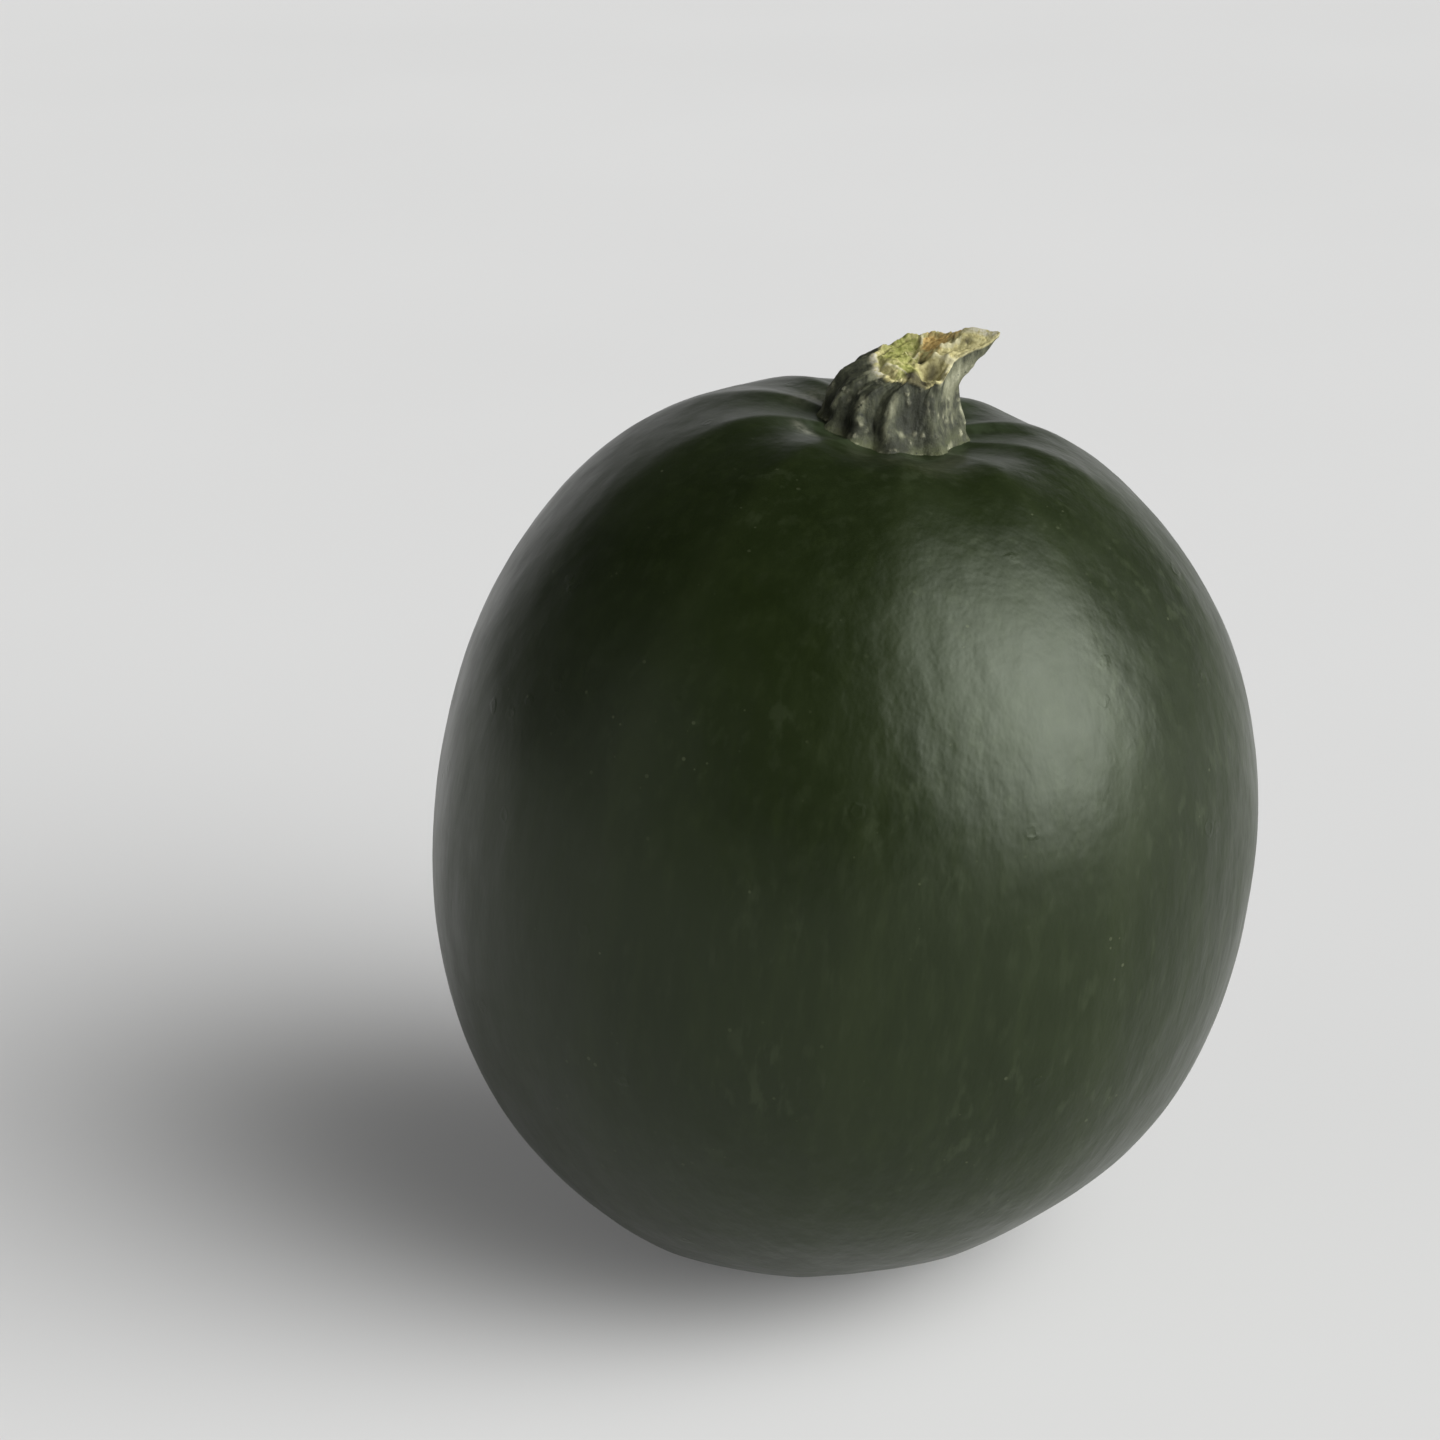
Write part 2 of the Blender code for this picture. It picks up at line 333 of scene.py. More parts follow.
WAX_IOR = 1.40
WAX_TINT = (0.91, 1.0, 0.83, 1.0)

# The studio's soft light: bearing, elevation, half width, half height and radiance of each glow
STUDIO_DIM = 0.05
STUDIO_GLOWS = (
    (64, 28, 27, 31, 9.3),
    (74, 2, 34, 26, 0.34),
    (-62, 12, 29, 28, 0.52),
    (180, 7, 60, 16, 0.50),
)
GLOW_EDGE = 1.6


def bump(distance, spread):
    """1 where the distance is 0, falling smoothly to 0 past the spread."""
    return np.exp(-((distance / spread) ** 2))


def ease(share):
    """A smooth step from 0 to 1 as share goes from 0 to 1."""
    share = np.clip(share, 0.0, 1.0)
    return share * share * (3.0 - 2.0 * share)


def turn_between(bearing, other):
    """The angle between two bearings, in degrees."""
    return np.abs((bearing - other + 180.0) % 360.0 - 180.0)


def direction(bearing, elevation):
    """The direction to a bearing and an elevation, of length 1."""
    b, e = np.radians(bearing), np.radians(elevation)
    return np.array([np.sin(b) * np.cos(e), -np.cos(b) * np.cos(e), np.sin(e)])


def noise_at(points, size, seed):
    """Smooth noise from about -1 to 1, with features of this size."""
    values = [noise.noise(Vector(p)) for p in points.reshape(-1, 3) / size + seed]
    return np.array(values).reshape(points.shape[:-1])


def around_axis(out, bearing, up):
    """World-aligned points from a distance and bearing round the leaning stem axis and a height along it."""
    x = out * np.sin(np.radians(bearing))
    y = -out * np.cos(np.radians(bearing))
    return np.stack([x * np.cos(LEAN) + up * np.sin(LEAN), y, up * np.cos(LEAN) - x * np.sin(LEAN)], axis=-1)


def rib_crest(bearing):
    """Highest along the middle of each rib of the rind, and lowest between two."""
    return 1.0 - np.hypot(np.sin(np.radians(bearing - RIB_BEARING) * RIBS / 2), RIB_CREST_SOFTNESS)


def rind_profile(polar, bearing):
    """Distance from the stem axis and height along it, at an angle from the stem end."""
    s, c = np.sin(polar), np.cos(polar)
    cap = np.where(c > 0, RISE_TO_STEM, DROP_TO_BLOSSOM)
    radius = ((s / HALF_WIDTH) ** BOXINESS + (np.abs(c) / cap) ** BOXINESS) ** (-1.0 / BOXINESS)
    near_end = np.where(c > 0, RIB_BY_STEM, RIB_BY_BLOSSOM) * bump(radius * s, RIB_FADE)
    radius = radius + (RIB_HEIGHT + near_end) * rib_crest(bearing) * (1.0 - bump(radius * s, RIB_START))
    dip = FRONT_DIP * bump(radius * s - FRONT_DIP_OUT, FRONT_DIP_WIDTH)
    dip = dip * bump(turn_between(bearing, FRONT_DIP_BEARING), FRONT_DIP_SPREAD)
    hollow = (HOLLOW_DEPTH * bump(radius * s, HOLLOW_WIDTH) + dip) * (c > 0)
    return radius * s, radius * c - hollow


def grain_points(polar, bearing):
    """Points whose third part runs along the rind from end to end, for relief that follows the growth."""
    b = np.radians(bearing)
    out = HALF_WIDTH * np.sin(polar)
    return np.stack([out * np.sin(b), -out * np.cos(b), HALF_WIDTH * polar], axis=-1)


def rind(polar, bearing):
    """Points of the fine rind, in millimetres from the fruit's middle."""
    out, up = rind_profile(polar, bearing)
    points = around_axis(out, bearing, up)
    outward = points / np.linalg.norm(points, axis=-1, keepdims=True)
    for swell_bearing, elevation, spread, height in SWELLS:
        angle = np.degrees(np.arccos(np.clip(outward @ direction(swell_bearing, elevation), -1, 1)))
        points = points + outward * (height * bump(angle, spread))[..., None]
    grain = grain_points(polar, bearing)
    stretched = grain * np.array([1.0, 1.0, 1.0 / DIMPLE_STRETCH])
    relief = LUMP_HEIGHT * noise_at(points, LUMP_SIZE, LUMP_SEED)
    relief = relief + DIMPLE_HEIGHT * noise_at(stretched, DIMPLE_SIZE, DIMPLE_SEED)
    relief = relief + PORE_HEIGHT * noise_at(grain, PORE_SIZE, PORE_SEED)
    b = np.radians(bearing)
    spokes = np.stack([np.sin(b), -np.cos(b), out * WRINKLE_DRIFT + 0 * b], axis=-1)
    wrinkles = WRINKLE_HEIGHT * noise_at(spokes, WRINKLE_SIZE, WRINKLE_SEED)
    relief = relief + wrinkles * bump(out - WRINKLE_OUT, WRINKLE_SPREAD) * (up > 0)
    points = points + outward * (relief - SKIN_INSET)[..., None]
    below = np.clip((points[..., 2] + REST_DEPTH) / (2 * REST_SOFTNESS) + 0.5, 0.0, None)
    flat = np.where(below < 1.0, REST_SOFTNESS * below**2 - REST_DEPTH, points[..., 2])
    scar = SCAR_DEPTH * (1.0 - ease(out / SCAR_REACH)) - SCAR_BUTTON * (1.0 - ease(out / SCAR_BUTTON_REACH))
    points[..., 2] = flat + scar * (up < 0)
    return points


def polar_at(out):
    """The angle from the stem end at which the rind is this far from the axis."""
    return np.interp(out, rind_profile(FOOT_POLARS, RIB_BEARING)[0], FOOT_POLARS)


def ridge_crest(bearing):
    """1 along each ridge of the stem, falling towards 0 between two."""
    return np.max([bump(turn_between(bearing, b), RIDGE_SPREAD) for b in RIDGE_BEARINGS], axis=0)


def rim_height(bearing):
    """Height of the even line of the rim above where the stem starts."""
    bearings, heights = np.array(RIM).T
    return np.interp((bearing + 180.0) % 360.0 - 180.0, bearings, heights)


def smooth_interp(share, knots, values):
    """A curve through the knots that has no corners at them."""
    slopes = np.gradient(values, knots)
    i = np.clip(np.searchsorted(knots, share, side="right") - 1, 0, len(knots) - 2)
    step = knots[i + 1] - knots[i]
    t = (share - knots[i]) / step
    rise = values[i] * (1 + 2 * t) * (1 - t) ** 2 + values[i + 1] * t**2 * (3 - 2 * t)
    return rise + step * (slopes[i] * t * (1 - t) ** 2 - slopes[i + 1] * t**2 * (1 - t))


def stem_side(share, bearing):
    """x, y of the stem's side at a share of the way from its foot to its rim."""
    rows = np.array(STEM_RINGS).T
    centre_x, centre_y, half_width, half_depth = (smooth_interp(share, rows[0], row) for row in rows[1:])
    groove = (GROOVE_AT_FOOT + (GROOVE_AT_RIM - GROOVE_AT_FOOT) * share) * (1.0 - ridge_crest(bearing))
    spike = SPIKE_REACH * bump(turn_between(bearing, SPIKE_BEARING), SPIKE_SPREAD)
    spike = spike * ease((share - SPIKE_STARTS) / (1.0 - SPIKE_STARTS))
    x = centre_x + (half_width - groove + spike) * np.sin(np.radians(bearing))
    y = centre_y - (half_depth - groove) * np.cos(np.radians(bearing))
    return x, y


def tear_relief(x, y):
    """The waves and lumps of the torn top, as the solid has them."""
    relief = np.zeros_like(x)
    for along_x, along_y, phase, height in TEAR_WAVES:
        relief = relief + height * np.sin(along_x * x + along_y * y + phase)
    for lump_x, lump_y, width, height in TEAR_LUMPS:
        relief = relief + height * bump(np.hypot(x - lump_x, y - lump_y), width)
    return relief


def share_at(x, y, places):
    """How much of something there is at x, y, from places with a middle, a width, a depth and an amount."""
    shares = [
        amount * bump(np.hypot((x - middle_x) / width, (y - middle_y) / depth), 1.0)
        for middle_x, middle_y, width, depth, amount in places
    ]
    return np.max(shares, axis=0)


def strand_at(x, y):
    """1 on the crest of the nearest strand, falling to 0 beside it."""
    shares = []
    for x1, y1, x2, y2, width in STRANDS:
        along_x, along_y = x2 - x1, y2 - y1
        along = np.clip(((x - x1) * along_x + (y - y1) * along_y) / (along_x**2 + along_y**2), 0.0, 1.0)
        shares.append(bump(np.hypot(x - x1 - along * along_x, y - y1 - along * along_y), width))
    return np.max(shares, axis=0)


def amount_at(along, bearing, places):
    """How much of something there is at a bearing and a distance or share along, from places with a middle,
    the spread of both, and an amount."""
    shares = [
        amount * bump(turn_between(bearing, middle_bearing), turn) * bump(along - middle_along, spread)
        for middle_bearing, middle_along, turn, spread, amount in places
    ]
    return np.max(shares, axis=0)


def cell_distance(points, size):
    """Distance from each point to the nearest of scattered points, in cells of this size."""
    values = [noise.voronoi(Vector(p))[0][0] for p in points.reshape(-1, 3) / size]
    return np.array(values).reshape(points.shape[:-1])


def stem_seat():
    """The height at which the solid of the stem starts, just clear of the bottom of the hollow."""
    return rind_profile(np.array(0.0), 90.0)[1] + STEM_GAP


def round_the_stem(bearing):
    """Points on a circle, for noise that runs round the stem."""
    b = np.radians(bearing)
    return np.stack([NOISE_CIRCLE * np.sin(b), NOISE_CIRCLE * np.cos(b), 0 * b], axis=-1)


def rim_jag(bearing):
    """How far the ragged rim is above its even line, or below it."""
    around = round_the_stem(bearing)
    jag = sum(noise_at(around, JAG_SIZE * part, JAG_SEED + part) * weight for part, weight in JAG_PARTS)
    return JAG_HEIGHT * (jag - JAG_SINK)


def stem_bark(share, bearing):
    """Points on the stem's side at a share of its height, and how warty it is there."""
    foot_x, foot_y = stem_side(0.0, bearing)
    foot_up = rind_profile(polar_at(np.hypot(foot_x, foot_y)), bearing)[1] - FOOT_SUNK
    rim_up = stem_seat() + rim_height(bearing)
    x, y = stem_side(share, bearing)
    up = foot_up + (rim_up + rim_jag(bearing) - foot_up) * share

    at = np.stack([x, y, up * BARK_DRAWN], axis=-1)
    finer = FINER_BARK_WEIGHT * noise_at(at, BARK_SIZE * FINER_BARK, FINER_BARK_SEED)
    bark = BARK_HEIGHT * (noise_at(at, BARK_SIZE, BARK_SEED) + finer - BARK_SINK)
    patches = noise_at(at, PATCH_SIZE, PATCH_SEED) * PATCH_EDGE + PATCH_START
    patches = ease(patches + PATCH_BY_FOOT * bump(share, PATCH_BY_FOOT_REACH))
    cells = cell_distance(np.stack([x, y, up * WART_DRAWN], axis=-1), WART_SIZE)
    wart = WART_RADIUS - cells + WART_GRIT * noise_at(at, WART_GRIT_SIZE, WART_GRIT_SEED)
    wart = ease(wart / WART_EDGE) * patches
    toe = TOE_UNEVEN * noise_at(round_the_stem(bearing), TOE_UNEVEN_SIZE, TOE_SEED)
    toe = (TOE_HEIGHT * ridge_crest(bearing) + toe) * bump(share, TOE_REACH)
    swell = (bark + WART_HEIGHT * (wart - WART_SINK)) * ease((1.0 - share) / BARK_ENDS) + toe
    b = np.radians(bearing)
    return np.stack([x + swell * np.sin(b), y - swell * np.cos(b), up], axis=-1), wart


def stem_tear(share, bearing):
    """Points on the torn top at a share of the way from its middle to its rim."""
    rim_x, rim_y = stem_side(1.0, bearing)
    rim_up = stem_seat() + rim_height(bearing)
    middle_x = STEM_RINGS[-1][1]
    middle_up = stem_seat() + TEAR_MIDDLE_HEIGHT
    x = middle_x + (rim_x - middle_x) * share
    y = rim_y * share

    at = np.stack([x, y * FIBRE_STRETCH, 0 * x], axis=-1)
    broad = BROAD_FIBRE_WEIGHT * noise_at(at, FIBRE_SIZE * BROAD_FIBRE, BROAD_FIBRE_SEED)
    fibres = FIBRE_HEIGHT * (noise_at(at, FIBRE_SIZE, FIBRE_SEED) + broad)
    collar = COLLAR_DEPTH * bump(share - COLLAR_AT, COLLAR_WIDTH)
    on_one_side = bump(turn_between(bearing, COLLAR_BEARING), COLLAR_SPREAD)
    collar = collar * (COLLAR_ALL_ROUND + (1.0 - COLLAR_ALL_ROUND) * on_one_side)
    cells = cell_distance(np.stack([x, y, 0 * x], axis=-1), KNOB_SIZE)
    on_the_right = ease((x - KNOBS_START) / KNOBS_RISE)
    knobs = ease((KNOB_RADIUS - cells) / KNOB_EDGE)
    knobs = knobs * (KNOBS_ON_LEFT + (1.0 - KNOBS_ON_LEFT) * on_the_right)
    detail = STRAND_HEIGHT * strand_at(x, y) - PIT_DEPTH * share_at(x, y, PITS) + KNOB_HEIGHT * knobs
    near_rim = share**TEAR_CALM_AT_RIM
    raised = (tear_relief(x, y) + fibres + detail) * (1.0 - near_rim) - collar
    up = middle_up + (rim_up - middle_up) * share**TEAR_BOWL + rim_jag(bearing) * near_rim + raised
    return np.stack([x, y, up], axis=-1)


def stem_rings():
    """Rings of points from the middle of the stem's underside, over its side, to the middle of the tear."""
    bearing = np.arange(STEM_AROUND) * 360.0 / STEM_AROUND
    under = np.linspace(0.0, 1.0, UNDERSIDE_RINGS + 1)[:-1]
    share, turn = np.meshgrid(np.linspace(0.0, 1.0, SIDE_RINGS + 1), bearing, indexing="ij")
    torn_share, _ = np.meshgrid(np.linspace(1.0, 0.0, TEAR_RINGS + 1)[1:], bearing, indexing="ij")
    side, wart = stem_bark(share, turn)
    tear = stem_tear(torn_share, turn[:TEAR_RINGS])
    foot = side[0]
    below = np.stack([foot * u for u in under])
    below[..., 2] = foot[:, 2].min()
    plan = np.concatenate([below, side, tear])
    rows = np.concatenate([np.zeros(UNDERSIDE_RINGS), share[:, 0], np.ones(TEAR_RINGS)])
    torn = ease((rows - TORN_FROM) / (1.0 - TORN_FROM))
    inside = np.concatenate([np.zeros(UNDERSIDE_RINGS + SIDE_RINGS + 1), 1.0 - torn_share[:, 0]])
    wobble = [WOBBLE * noise_at(plan + shift, WOBBLE_SIZE, WOBBLE_SEED) for shift in WOBBLE_SHIFTS]
    x, y = plan[..., 0] + wobble[0], plan[..., 1] + wobble[1]
    values = {
        "plan": plan,
        "height": rows[:, None] * np.ones(STEM_AROUND),
        "torn": torn[:, None] * np.ones(STEM_AROUND),
        "inside": inside[:, None] * np.ones(STEM_AROUND),
        "pale": amount_at(rows[:, None], bearing, PALE_PLACES),
        "dark": amount_at(rows[:, None], bearing, PAINTED_SHADE_PLACES),
        "green": share_at(x, y, GREEN_FLESH),
        "tan": share_at(x, y, TAN_FLESH),
        "pit": share_at(x, y, PITS),
        "strand": strand_at(x, y),
        "wart": np.concatenate([np.zeros(below.shape[:2]), wart, np.zeros(tear.shape[:2])]),
    }
    x, y, up = np.moveaxis(plan, -1, 0)
    return around_axis(np.hypot(x, y), np.degrees(np.arctan2(x, -y)), up), values


def fruit_rings():
    """The rind's rings from the blossom end up to the stem end, closer together near both ends."""
    bearing = RIB_BEARING + np.arange(FRUIT_AROUND) * 360.0 / FRUIT_AROUND
    steps = np.linspace(1.0, 0.0, FRUIT_RINGS + 1)
    polars = np.pi * (steps - POLE_CROWDING * np.sin(2 * np.pi * steps) / (2 * np.pi))
    polar, turn = np.meshgrid(polars, bearing, indexing="ij")
    scuff = amount_at(rind_profile(polar, turn)[0], turn, SCUFFS) * (polar < SCUFFS_END)
    values = {"grain": grain_points(polar, turn), "crest": rib_crest(turn), "polar": polar, "scuff": scuff}
    return rind(polar, turn), values


def closed_mesh(name, points):
    """A closed mesh over rings of points. The first and last ring are single points."""
    rings, around = points.shape[:2]
    corners = np.concatenate([points[0, :1], points[1:-1].reshape(-1, 3), points[-1, :1]])
    last = len(corners) - 1
    j = np.arange(around)
    k = (j + 1) % around
    starts = 1 + around * np.arange(rings - 3)[:, None]
    quads = np.stack([starts + j, starts + k, starts + around + k, starts + around + j], axis=-1)
    faces = [(0, 1 + b, 1 + a) for a, b in zip(j.tolist(), k.tolist())]
    faces += quads.reshape(-1, 4).tolist()
    faces += [(last - around + a, last - around + b, last) for a, b in zip(j.tolist(), k.tolist())]
    mesh = bpy.data.meshes.new(name)
    mesh.from_pydata(corners.tolist(), [], faces)
    mesh.shade_smooth()
    return mesh


def flat_values(values):
    """One value or vector for each vertex of a closed mesh, from values on rings."""
    tail = values.shape[2:]
    return np.concatenate([values[0, :1], values[1:-1].reshape(-1, *tail), values[-1, :1]])


def add_attribute(mesh, name, values):
    kind, field = ("FLOAT_VECTOR", "vector") if values.ndim == 2 else ("FLOAT", "value")
    made = mesh.attributes.new(name, kind, "POINT")
    made.data.foreach_set(field, values.astype(np.float32).ravel())


def add_piece(name, mesh, material):
    mesh.materials.append(material)
    piece = bpy.data.objects.new(name, mesh)
    bpy.context.scene.collection.objects.link(piece)
    return piece


def add_ringed(name, points, values, material):
    """A closed piece over rings of points, in millimetres, with the values that its material reads."""
    mesh = closed_mesh(name, points * METRES)
    for value_name, value in values.items():
        add_attribute(mesh, value_name, flat_values(value))
    return add_piece(name, mesh, material)


class Nodes:
    """Short calls for building the nodes of a material or of the world."""

    def __init__(self, owner, shader):
        owner.use_nodes = True
        self.owner = owner
        self.tree = owner.node_tree
        self.shader = self.tree.nodes[shader]

    def add(self, kind, **inputs):
        node = self.tree.nodes.new(kind)
        for key, value in inputs.items():
            self.feed(node.inputs[key.replace("_", " ")], value)
        return node

    def feed(self, socket, value):
        if isinstance(value, bpy.types.NodeSocket):
            self.tree.links.new(value, socket)
        else:
            socket.default_value = value

    def attribute(self, name, output="Fac"):
        node = self.tree.nodes.new("ShaderNodeAttribute")
        node.attribute_name = name
        return node.outputs[output]

    def noise(self, vector, scale, detail=4.0, roughness=0.55, stretch=None):
        if stretch is not None:
            mapping = self.add("ShaderNodeMapping", Vector=vector)
            mapping.inputs["Scale"].default_value = stretch
            vector = mapping.outputs["Vector"]
        node = self.add("ShaderNodeTexNoise", Vector=vector, Scale=scale, Detail=detail, Roughness=roughness)
        return node.outputs["Fac"]

    def noise_colour(self, vector, scale):
        return self.add("ShaderNodeTexNoise", Vector=vector, Scale=scale, Detail=2.0).outputs["Color"]

    def spots(self, vector, scale):
        node = self.add("ShaderNodeTexVoronoi", Vector=vector, Scale=scale)
        return node.outputs["Distance"], node.outputs["Color"]

    def ramp(self, value, low, high, start=0.0, end=1.0):
        """value from low to high, eased to start to end and held there."""
        node = self.add("ShaderNodeMapRange", Value=value)
        node.interpolation_type = "SMOOTHSTEP"
        for key, number in (("From Min", low), ("From Max", high), ("To Min", start), ("To Max", end)):
            node.inputs[key].default_value = number
        return node.outputs["Result"]

    def math(self, operation, *values):
        node = self.tree.nodes.new("ShaderNodeMath")
        node.operation = operation
        for socket, value in zip(node.inputs, values):
            self.feed(socket, value)
        return node.outputs["Value"]

    def part_along(self, vector, axis):
        node = self.tree.nodes.new("ShaderNodeVectorMath")
        node.operation = "DOT_PRODUCT"
        self.feed(node.inputs[0], vector)
        self.feed(node.inputs[1], axis)
        return node.outputs["Value"]

    def mix(self, share, a, b):
        node = self.tree.nodes.new("ShaderNodeMix")
        node.data_type = "RGBA"
        self.feed(node.inputs["Factor"], share)
        self.feed(node.inputs["A"], a)
        self.feed(node.inputs["B"], b)
        return node.outputs["Result"]

    def bump(self, height, distance, strength=1.0, under=None):
        node = self.add("ShaderNodeBump", Height=height, Distance=distance, Strength=strength)
        if under is not None:
            self.feed(node.inputs["Normal"], under)
        return node.outputs["Normal"]


def rind_material():
    n = Nodes(bpy.data.materials.new("rind"), "Principled BSDF")
    grain = n.attribute("grain", "Vector")
    polar = n.attribute("polar")
    crest = n.attribute("crest")

    # Colour: two deep greens in clouds, streaked from end to end, a little lighter on the ribs
    clouds = n.noise(grain, 0.045, 4.0, 0.6)
    streaks = n.noise(grain, 0.55, 3.0, 0.6, stretch=(1.0, 1.0, 0.16))
    colour = n.mix(n.ramp(clouds, 0.30, 0.72), DEEP_GREEN, CLOUD_GREEN)
    colour = n.mix(n.ramp(streaks, 0.45, 0.80, 0.0, 0.55), colour, STREAK_GREEN)
    colour = n.mix(n.ramp(crest, 0.55, 0.86, 0.0, 0.30), colour, RIB_GREEN)

    # Fine pale flecks, each a breathing pore of the skin, and pale dashes along the growth, in drifts. The
    # left is the smoother side.
    rougher = n.ramp(n.add("ShaderNodeSeparateXYZ", Vector=grain).outputs["X"], -24.0, 2.0)
    distance, tint = n.spots(grain, 0.62)
    drift = n.ramp(n.noise(grain, 0.11, 3.0), 0.42, 0.70)
    size = n.math("MULTIPLY", n.math("FRACT", n.math("MULTIPLY", tint, 7.0)), 0.16)
    fleck = n.math("MULTIPLY", n.ramp(n.math("SUBTRACT", size, distance), 0.0, 0.06), drift)
    colour = n.mix(n.math("MULTIPLY", fleck, 0.5), colour, FLECK_PALE)
    dashes = n.noise(grain, 0.75, 3.0, 0.5, stretch=(1.0, 1.0, 0.30))
    dashes = n.math("MULTIPLY", n.ramp(dashes, 0.52, 0.70), n.ramp(drift, 0.0, 1.0, 0.20, 0.70))
    dashes = n.math("MULTIPLY", dashes, n.ramp(rougher, 0.0, 1.0, 0.40, 1.0))
    colour = n.mix(dashes, colour, DASH_PALE)

    # The dull, paler skin close round the stem with its scuffs, and the tan scar of the flower below
    by_stem = n.ramp(n.math("ADD", polar, n.math("MULTIPLY", streaks, 0.10)), 0.38, 0.20)
    mottle = n.ramp(n.noise(grain, 0.30, 4.0, 0.6), 0.40, 0.62, 0.15, 0.75)
    colour = n.mix(n.math("MULTIPLY", by_stem, mottle), colour, DULL_BY_STEM)
    rubbed = n.ramp(n.noise(grain, 1.4, 4.0, 0.6), 0.34, 0.60, 0.25, 1.0)
    colour = n.mix(n.math("MULTIPLY", n.attribute("scuff"), rubbed), colour, SCUFF_PALE)
    by_blossom = n.ramp(n.math("ADD", polar, n.math("MULTIPLY", streaks, 0.05)), 3.05, 3.11)
    colour = n.mix(by_blossom, colour, SCAR_TAN)
    n.feed(n.shader.inputs["Base Color"], colour)

    # Gloss: a satin wax, rubbed duller in clouds
    dull = n.noise(grain, 0.09, 4.0, 0.65)
    rough = n.math("ADD", n.ramp(dull, 0.3, 0.75, 0.30, 0.40), n.math("MULTIPLY", by_stem, 0.10))
    n.feed(n.shader.inputs["Roughness"], rough)
    n.shader.inputs["IOR"].default_value = WAX_IOR
    n.shader.inputs["Specular IOR Level"].default_value = 0.5
    n.shader.inputs["Specular Tint"].default_value = WAX_TINT

    # Relief: shallow pimples, less raised on the left, and fine strokes, both drawn out along the growth, and
    # small bent rings round old pores, in drifts
    pimples = n.noise(grain, 0.36, 3.0, 0.5, stretch=(1.0, 1.0, 0.42))
    strokes = n.noise(grain, 0.95, 2.0, 0.45, stretch=(1.0, 1.0, 0.30))
    bent = n.add("ShaderNodeVectorMath", Vector=grain)
    n.feed(bent.inputs[1], n.noise_colour(grain, 0.8))
    cells, pick = n.spots(bent.outputs["Vector"], 0.26)
    marked = n.math("MULTIPLY", n.ramp(n.math("FRACT", n.math("MULTIPLY", pick, 5.0)), 0.58, 0.70), drift)
    from_ring = n.math("ABSOLUTE", n.math("MULTIPLY", n.math("SUBTRACT", cells, 0.16), 11.0))
    ring = n.math("MAXIMUM", n.math("SUBTRACT", 1.0, from_ring), 0.0)
    ring = n.math("MULTIPLY", ring, marked)
    normal = n.bump(pimples, PIMPLE_DEPTH, n.ramp(rougher, 0.0, 1.0, 0.20, 0.58))
    normal = n.bump(ring, RING_DEPTH, 0.6, normal)
    normal = n.bump(strokes, STROKE_DEPTH, 0.22, normal)
    n.feed(n.shader.inputs["Normal"], normal)
    return n.owner


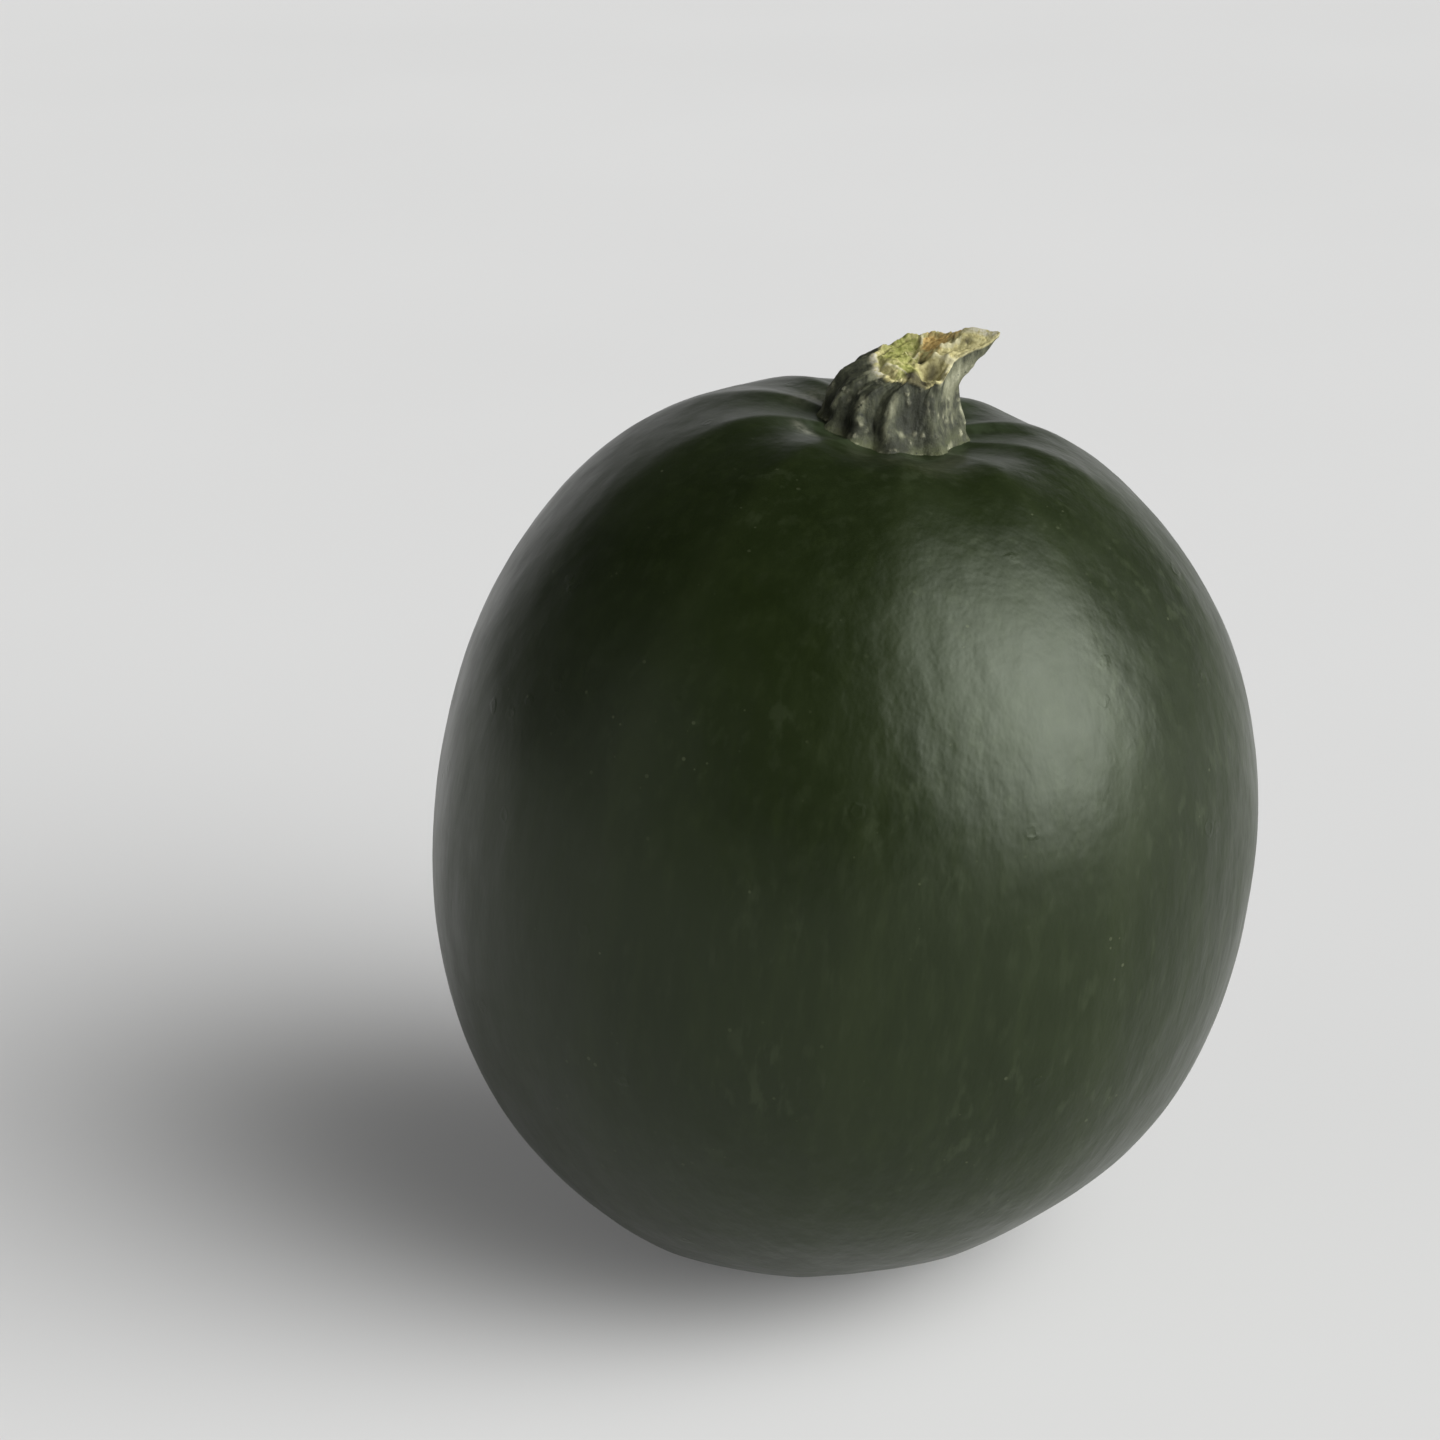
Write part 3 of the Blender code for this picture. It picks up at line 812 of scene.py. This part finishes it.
def stem_material():
    n = Nodes(bpy.data.materials.new("stem"), "Principled BSDF")
    plan = n.attribute("plan", "Vector")
    height, torn, inside = n.attribute("height"), n.attribute("torn"), n.attribute("inside")
    pale, wart = n.attribute("pale"), n.attribute("wart")
    coarse = n.noise(plan, 0.55, 4.0, 0.6)
    fine = n.noise(plan, 2.2, 5.0, 0.65)
    drawn = n.noise(plan, 1.5, 4.0, 0.6, stretch=(1.0, 1.0, 0.25))

    # The skin of the stem: dark grey green, worn pale in places, yellower at the foot, with corky warts, and
    # painted shade
    skin = n.mix(n.ramp(drawn, 0.34, 0.66), *SKIN_GREENS)
    foot = n.math("MULTIPLY", n.ramp(height, 0.24, 0.02), n.ramp(coarse, 0.36, 0.60, 0.3, 1.0))
    skin = n.mix(n.math("MULTIPLY", foot, 0.75), skin, FOOT_GREEN)
    grit = n.math("ADD", drawn, n.math("MULTIPLY", fine, 0.5))
    grit = n.math("MULTIPLY", n.math("SUBTRACT", grit, 0.75), 1.6)
    worn = n.math("ADD", n.math("MULTIPLY", pale, 1.5), grit)
    skin = n.mix(n.ramp(worn, 0.10, 1.10), skin, WORN_PALE)
    skin = n.mix(n.ramp(worn, 0.95, 1.75), skin, WORN_PALEST)
    # Painted shade in the grooves, round the foot and at the rim, with random darker tone from the coarse
    # noise
    shade = n.math("ADD", n.attribute("dark"), n.math("MULTIPLY", n.math("SUBTRACT", coarse, 0.5), 0.8))
    shade = n.ramp(shade, 0.10, 0.60, 0.0, 0.88)
    skin = n.mix(shade, skin, SHADE_DARK)
    corky = n.math("MULTIPLY", wart, n.ramp(fine, 0.38, 0.62, 0.05, 0.85))
    # The corky warts are less pale where the painted shade lies
    corky = n.math("MULTIPLY", corky, n.math("SUBTRACT", 1.0, n.math("MULTIPLY", shade, 0.6)))
    skin = n.mix(corky, skin, CORK_PALE)
    specks, _ = n.spots(plan, 1.3)
    specks = n.math("ADD", specks, n.math("MULTIPLY", n.math("SUBTRACT", fine, 0.5), 0.5))
    speck = n.math("MULTIPLY", n.ramp(specks, 0.22, 0.10), n.ramp(coarse, 0.50, 0.60))
    skin = n.mix(n.math("MULTIPLY", speck, 0.8), skin, SPECK_DARK)

    # The torn top: cream wood, yellow green flesh, tan flesh, pale strands and pits darkened with painted
    # shade, with a pale collar in some places of the rim and painted shade just inside it in others
    flesh = n.mix(n.ramp(fine, 0.35, 0.62), *CREAMS)
    patchy = n.math("MULTIPLY", n.math("SUBTRACT", n.noise(plan, 1.3, 5.0, 0.7), 0.5), 1.6)
    greens = n.math("ADD", n.attribute("green"), patchy)
    flesh = n.mix(n.ramp(greens, 0.12, 0.85), flesh, n.mix(n.ramp(fine, 0.36, 0.64), *YELLOW_GREENS))
    tans = n.math("SUBTRACT", n.attribute("tan"), patchy)
    flesh = n.mix(n.ramp(tans, 0.12, 0.70), flesh, n.mix(n.ramp(fine, 0.36, 0.66), *TANS))
    flesh = n.mix(n.ramp(n.attribute("strand"), 0.35, 0.85, 0.0, 0.85), flesh, STRAND_PALE)
    # Painted shade: the pits are darkened near black
    flesh = n.mix(n.ramp(n.attribute("pit"), 0.15, 0.75, 0.0, 0.95), flesh, PIT_SHADE)
    collar = n.math("MULTIPLY", n.ramp(inside, 0.16, 0.06), n.ramp(fine, 0.34, 0.52))
    flesh = n.mix(n.math("MULTIPLY", collar, n.ramp(pale, 0.15, 0.5, 0.0, 0.95)), flesh, COLLAR_PALE)
    # Painted shade just inside the rim, where the painted shade of the side reaches it
    rim_shade = n.math("MULTIPLY", shade, n.ramp(inside, 0.60, 0.34))
    flesh = n.mix(rim_shade, flesh, RIM_SHADE_DARK)
    n.feed(n.shader.inputs["Base Color"], n.mix(torn, skin, flesh))

    n.feed(n.shader.inputs["Roughness"], n.ramp(fine, 0.3, 0.7, 0.60, 0.82))
    n.shader.inputs["Specular IOR Level"].default_value = 0.4
    grain = n.bump(n.noise(plan, 5.0, 5.0, 0.7), GRAIN_DEPTH, 0.7)
    n.feed(n.shader.inputs["Normal"], n.bump(drawn, DRAWN_DEPTH, 0.5, grain))
    return n.owner


def floor_material():
    n = Nodes(bpy.data.materials.new("floor"), "Principled BSDF")
    place = n.add("ShaderNodeTexCoord").outputs["Object"]
    tone = n.ramp(n.noise(place, 3.0, 3.0), 0.3, 0.7)
    n.feed(n.shader.inputs["Base Color"], n.mix(tone, *FLOOR_GREYS))
    n.shader.inputs["Roughness"].default_value = 0.9
    n.shader.inputs["Specular IOR Level"].default_value = 0.2
    n.shader.inputs["Emission Color"].default_value = WHITE
    n.shader.inputs["Emission Strength"].default_value = FLOOR_GLOW
    return n.owner


def add_fruit():
    """The fruit, over the middle of its solid and on the floor, and how far it was moved for that."""
    points, values = fruit_rings()
    low, high = (np.array(corner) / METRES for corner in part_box("fruit"))
    every = points.reshape(-1, 3)
    shift = (low + high - every.min(axis=0) - every.max(axis=0)) / 2
    shift[2] = REST_DEPTH
    return add_ringed("gem_squash_fruit", points + shift, values, rind_material()), shift


def add_stem(shift):
    """The stem, moved with the fruit, and no higher than its solid."""
    points, values = stem_rings()
    points = points + shift
    points[..., 2] = np.minimum(points[..., 2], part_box("stem")[1][2] / METRES)
    return add_ringed("gem_squash_stem", points, values, stem_material())


def add_floor():
    mesh = bpy.data.meshes.new("floor")
    corners = [(-1, -1, 0), (1, -1, 0), (1, 1, 0), (-1, 1, 0)]
    mesh.from_pydata([(x * FLOOR_REACH, y * FLOOR_REACH, z) for x, y, z in corners], [], [(0, 1, 2, 3)])
    floor = add_piece("floor", mesh, floor_material())


def add_world():
    """A dim studio with soft glows: each is brightest at its middle and fades to its sides."""
    n = Nodes(bpy.data.worlds.new("studio"), "Background")
    ray = n.add("ShaderNodeTexCoord").outputs["Generated"]
    total = STUDIO_DIM
    for bearing, elevation, width, height, radiance in STUDIO_GLOWS:
        middle = Vector(direction(bearing, elevation))
        aside = Vector(direction(bearing + 90.0, 0.0))
        above = middle.cross(aside)
        across = n.part_along(ray, aside / math.sin(math.radians(width)))
        along = n.part_along(ray, above / math.sin(math.radians(height)))
        off = n.math("MULTIPLY_ADD", across, across, n.math("MULTIPLY", along, along))
        fade = n.math("EXPONENT", n.math("MULTIPLY", n.math("POWER", off, GLOW_EDGE), -1.0))
        ahead = n.math("GREATER_THAN", n.part_along(ray, middle), 0.0)
        total = n.math("MULTIPLY_ADD", n.math("MULTIPLY", fade, ahead), radiance, total)
    n.shader.inputs["Color"].default_value = WHITE
    n.feed(n.shader.inputs["Strength"], total)
    bpy.context.scene.world = n.owner


def add_camera(middle):
    data = bpy.data.cameras.new("camera")
    data.lens = LENS
    data.sensor_width = SENSOR
    data.clip_start = NEAREST_SEEN
    camera = bpy.data.objects.new("camera", data)
    back = Vector((0.0, -math.cos(CAMERA_ELEVATION), math.sin(CAMERA_ELEVATION)))
    camera.location = middle + back * CAMERA_DISTANCE
    looking = back.to_track_quat("Z", "Y").to_matrix()
    pixel_angle = SENSOR / LENS / PICTURE
    aside = (FRUIT_MIDDLE_PIXEL[0] - PICTURE / 2) * pixel_angle
    above = (PICTURE / 2 - FRUIT_MIDDLE_PIXEL[1]) * pixel_angle
    to_middle = Vector((aside, above, -1.0)).normalized()
    turn = to_middle.rotation_difference(Vector((0, 0, -1)))
    camera.rotation_euler = (looking @ turn.to_matrix()).to_euler()
    bpy.context.scene.collection.objects.link(camera)
    bpy.context.scene.camera = camera


def main():
    fruit, shift = add_fruit()
    stem = add_stem(shift)
    for piece, slot in ((fruit, "rind"), (stem, "stem")):
        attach(piece, "root")
    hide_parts("fruit")
    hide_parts("stem")
    add_floor()
    add_world()
    add_camera(Vector(shift) * METRES)
    bpy.context.scene.view_settings.view_transform = "Standard"


main()
